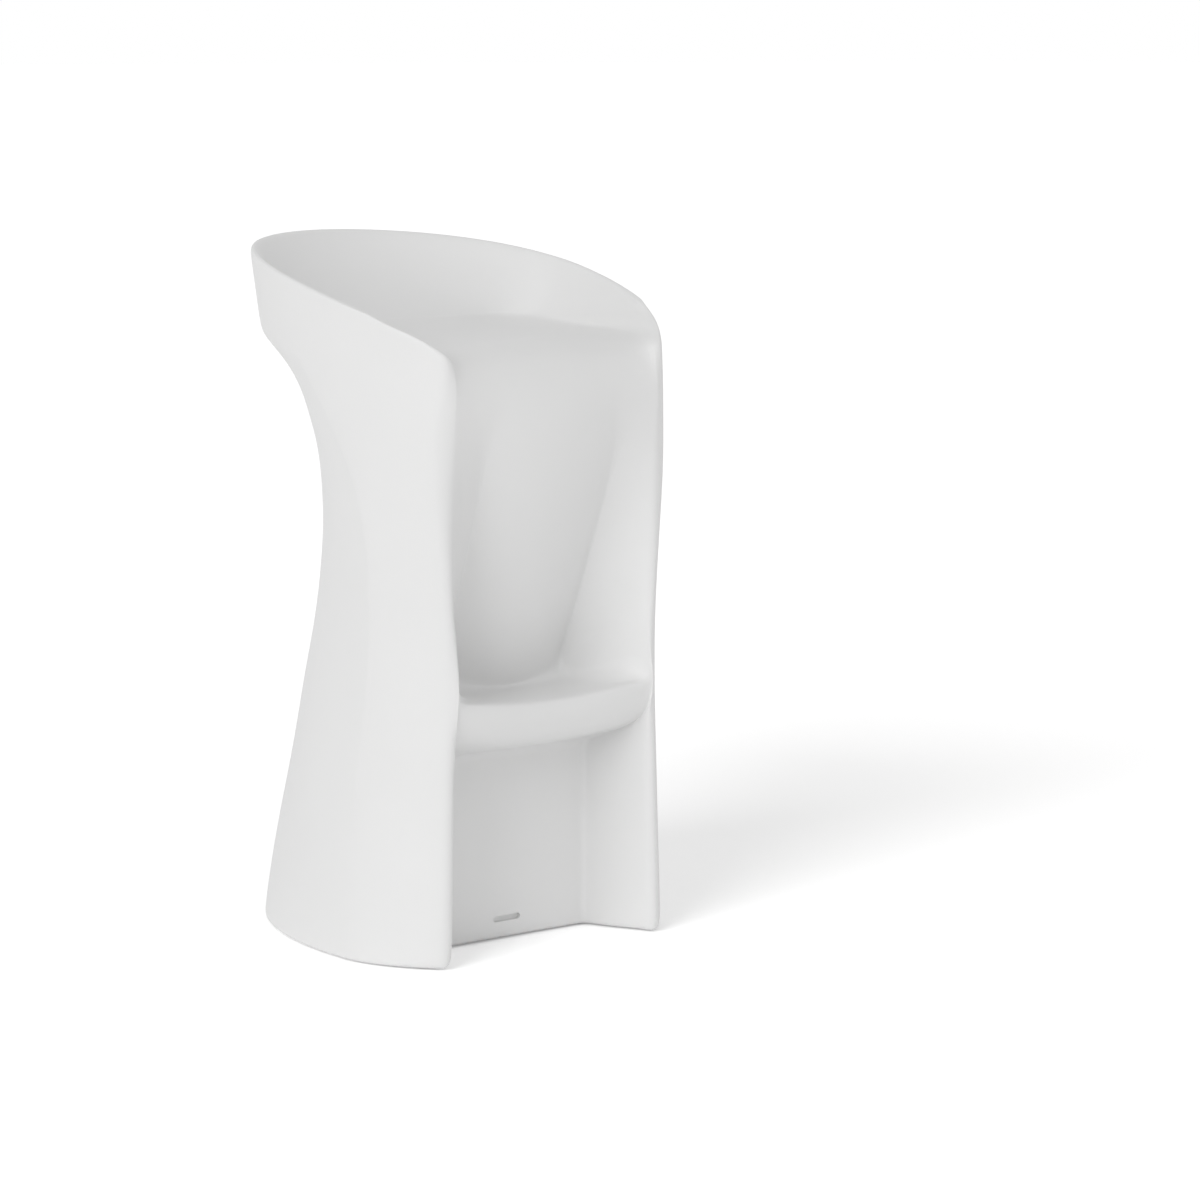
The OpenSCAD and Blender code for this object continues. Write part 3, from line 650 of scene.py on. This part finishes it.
def newMaterial(name):
    material = bpy.data.materials.new(name)
    material.use_nodes = True
    tree = material.node_tree
    shader = next(node for node in tree.nodes if node.type == "BSDF_PRINCIPLED")
    return material, Wire(tree), shader


def objectPlace(wire):                           # Object coordinates
    return wire.node("ShaderNodeTexCoord", out=3)


def noise(wire, place, scale, detail, rough):
    return wire.node("ShaderNodeTexNoise", None, {"Vector": place, "Scale": scale, "Detail": detail,
                                                  "Roughness": rough})


def tint(wire, mask, dark, light):               # 6 and 7 are the colours' sockets, and 2 their result
    return wire.node("ShaderNodeMix", {"data_type": "RGBA"},
                     {"Factor": mask, 6: (*dark, 1), 7: (*light, 1)}, out=2)


def feed(wire, shader, socket, value):
    wire.tree.links.new(value.socket, shader.inputs[socket])


def bumped(wire, shader, height, distance):
    feed(wire, shader, "Normal", wire.node("ShaderNodeBump", None, {"Height": height, "Distance": distance}))


# each noise is its scale, detail and roughness, and each depth is in metres
mouldedWhite = {
    "dark": (0.758, 0.758, 0.756), "light": (0.793, 0.793, 0.791),
    "patches": (5, 3, 0.55), "grain": (720, 3, 0.6), "wave": (26, 2, 0.4),
    "smoothest": 0.385, "patchRough": 0.10, "grainRough": 0.05, "specular": 0.42,
    "waveShare": 1.6, "depth": 0.00010,
}


def makeMouldedWhite():
    material, wire, shader = newMaterial("mouldedWhite")
    place = objectPlace(wire)
    patches = noise(wire, place, *mouldedWhite["patches"])
    grain = noise(wire, place, *mouldedWhite["grain"])
    wave = noise(wire, place, *mouldedWhite["wave"])
    feed(wire, shader, "Base Color", tint(wire, patches, mouldedWhite["dark"], mouldedWhite["light"]))
    feed(wire, shader, "Roughness", patches * mouldedWhite["patchRough"] + grain * mouldedWhite["grainRough"]
         + mouldedWhite["smoothest"])
    bumped(wire, shader, grain + wave * mouldedWhite["waveShare"], mouldedWhite["depth"])
    shader.inputs["Specular IOR Level"].default_value = mouldedWhite["specular"]
    return material


capPlastic = {
    "dark": (0.70, 0.70, 0.69), "light": (0.77, 0.77, 0.76),
    "clouds": (60, 3, 0.5), "grain": (1500, 2, 0.5), "smoothest": 0.30, "cloudRough": 0.12, "depth": 0.00006,
}


def makeCapPlastic():
    material, wire, shader = newMaterial("capPlastic")
    place = objectPlace(wire)
    clouds = noise(wire, place, *capPlastic["clouds"])
    grain = noise(wire, place, *capPlastic["grain"])
    feed(wire, shader, "Base Color", tint(wire, clouds, capPlastic["dark"], capPlastic["light"]))
    feed(wire, shader, "Roughness", clouds * capPlastic["cloudRough"] + capPlastic["smoothest"])
    bumped(wire, shader, grain, capPlastic["depth"])
    return material


dullBrass = {
    "dark": (0.36, 0.25, 0.10), "light": (0.66, 0.50, 0.24), "tarnish": (130, 5, 0.65),
    "rings": 420.0, "ringWobble": 0.4, "ringShare": 0.6, "tarnishShare": 0.4,
    "smoothest": 0.26, "tarnishRough": 0.25, "depth": 0.00008,
}


def makeDullBrass():
    material, wire, shader = newMaterial("dullBrass")
    place = objectPlace(wire)
    tarnish = noise(wire, place, *dullBrass["tarnish"])
    turned = wire.node("ShaderNodeTexWave", {"wave_type": "RINGS", "rings_direction": "Y"},
                       {"Vector": place, "Scale": dullBrass["rings"], "Distortion": dullBrass["ringWobble"]})
    feed(wire, shader, "Base Color", tint(wire, tarnish, dullBrass["dark"], dullBrass["light"]))
    feed(wire, shader, "Roughness", tarnish * dullBrass["tarnishRough"] + dullBrass["smoothest"])
    shader.inputs["Metallic"].default_value = 1.0
    bumped(wire, shader, turned * dullBrass["ringShare"] + tarnish * dullBrass["tarnishShare"],
           dullBrass["depth"])
    return material


blackRubber = {
    "dark": (0.030, 0.030, 0.032), "light": (0.060, 0.060, 0.063),
    "dust": (180, 4, 0.6), "grain": (1800, 2, 0.5), "smoothest": 0.70, "dustRough": 0.15,
    "dustShare": 0.5, "depth": 0.00012,
}


def makeBlackRubber():
    material, wire, shader = newMaterial("blackRubber")
    place = objectPlace(wire)
    dust = noise(wire, place, *blackRubber["dust"])
    grain = noise(wire, place, *blackRubber["grain"])
    feed(wire, shader, "Base Color", tint(wire, dust, blackRubber["dark"], blackRubber["light"]))
    feed(wire, shader, "Roughness", dust * blackRubber["dustRough"] + blackRubber["smoothest"])
    bumped(wire, shader, grain + dust * blackRubber["dustShare"], blackRubber["depth"])
    return material


def dress(piece, material):
    piece.data.materials.clear()
    piece.data.materials.append(material)


def dressNode(name, material):                   # a CAD node keeps its mesh
    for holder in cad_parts[name].material_slots:
        holder.material = material


dress(shell, makeMouldedWhite())
plastic = makeCapPlastic()
for piece in caps:
    dress(piece, plastic)
brass, rubber = makeDullBrass(), makeBlackRubber()
for name in ("fill_insert", "drain_insert"):
    dressNode(name, brass)
for name in ("fill_gasket", "drain_gasket",
             "pad_front_left", "pad_front_right", "pad_rear_left", "pad_rear_right"):
    dressNode(name, rubber)
print("materials made")


# floor, light and camera
studio = {
    "camera": (-3.070, -4.014, 1.116), "target": (0.1396, -0.1605, 0.4213), "lens": 120, "sensor": 36,
    "sun": 0.98, "sunTurn": 71, "sunHeight": 22, "sunSoft": 34,            # turns from ahead to the left
    "fill": 0.25, "fillTurn": 0, "fillHeight": 48, "fillSoft": 60,
    "floorSun": 1.5, "floorTurn": 68, "ambient": 0.56, "lampDistance": 4,
    "floor": 0.97, "floorSpread": 0.01, "floorSpecks": (40, 3, 0.5), "floorRough": 0.9, "floorLift": 0.2,
    "floorSize": 400, "farEnd": 600,
}


def grey(value):
    return (value, value, value)


def addSun(name, strength, turn, rise, soft):
    turn, rise = math.radians(turn), math.radians(rise)
    towards = Vector((-math.sin(turn) * math.cos(rise), -math.cos(turn) * math.cos(rise), math.sin(rise)))
    bpy.ops.object.light_add(type="SUN", location=towards * studio["lampDistance"])
    sun = bpy.context.object
    sun.name = name
    sun.data.energy = strength
    sun.data.angle = math.radians(soft)
    sun.rotation_euler = towards.to_track_quat("Z", "Y").to_euler()
    return sun


def makeFloor():
    freshStart()
    bpy.ops.mesh.primitive_plane_add(size=studio["floorSize"], location=(0, 0, 0))
    floor = nameIt("floor")
    material, wire, shader = newMaterial("paleFloor")
    specks = noise(wire, objectPlace(wire), *studio["floorSpecks"])
    feed(wire, shader, "Base Color", tint(wire, specks, grey(studio["floor"] - studio["floorSpread"]),
                                          grey(studio["floor"])))
    shader.inputs["Roughness"].default_value = studio["floorRough"]
    shader.inputs["Specular IOR Level"].default_value = 0.0
    seen = wire.node("ShaderNodeLightPath")      # the camera sees the lit floor white, and its shadow pale
    feed(wire, shader, "Emission Color", tint(wire, seen, grey(0), grey(studio["floorLift"])))
    shader.inputs["Emission Strength"].default_value = 1.0
    dress(floor, material)
    return floor


def makeLights(floor):
    addSun("keyLight", studio["sun"], studio["sunTurn"], studio["sunHeight"], studio["sunSoft"])
    addSun("fillLight", studio["fill"], studio["fillTurn"], studio["fillHeight"], studio["fillSoft"])
    floorSun = addSun("floorLight", studio["floorSun"], studio["floorTurn"], studio["sunHeight"],
                      studio["sunSoft"])
    lit = bpy.data.collections.new("floorOnly")  # the floor alone gets this sun, so its shadow shows
    lit.objects.link(floor)
    floorSun.light_linking.receiver_collection = lit


def makeAir():                                   # even light, and white where it is looked at
    world = bpy.data.worlds.new("studioAir")
    bpy.context.scene.world = world
    world.use_nodes = True
    air = Wire(world.node_tree)
    background = next(node for node in air.tree.nodes if node.type == "BACKGROUND")
    seen = air.node("ShaderNodeLightPath")
    glossy, passing = [Wire(air.tree, seen.socket.node.outputs[name])
                       for name in ("Is Glossy Ray", "Is Transmission Ray")]
    clear = air.maths("MAXIMUM", seen, air.maths("MAXIMUM", glossy, passing))
    feed(air, background, "Color", tint(air, clear, grey(studio["ambient"]), grey(1)))
    background.inputs["Strength"].default_value = 1.0


def makeCamera():
    data = bpy.data.cameras.new("photoCamera")
    camera = bpy.data.objects.new("photoCamera", data)
    bpy.context.collection.objects.link(camera)
    data.lens = studio["lens"]
    data.sensor_width = studio["sensor"]
    data.clip_end = studio["farEnd"]
    camera.location = studio["camera"]
    away = Vector(studio["target"]) - Vector(studio["camera"])
    camera.rotation_euler = away.to_track_quat("-Z", "Y").to_euler()
    bpy.context.scene.camera = camera


makeLights(makeFloor())
makeAir()
makeCamera()
bpy.context.scene.view_settings.view_transform = "Standard"
print("studio ready")
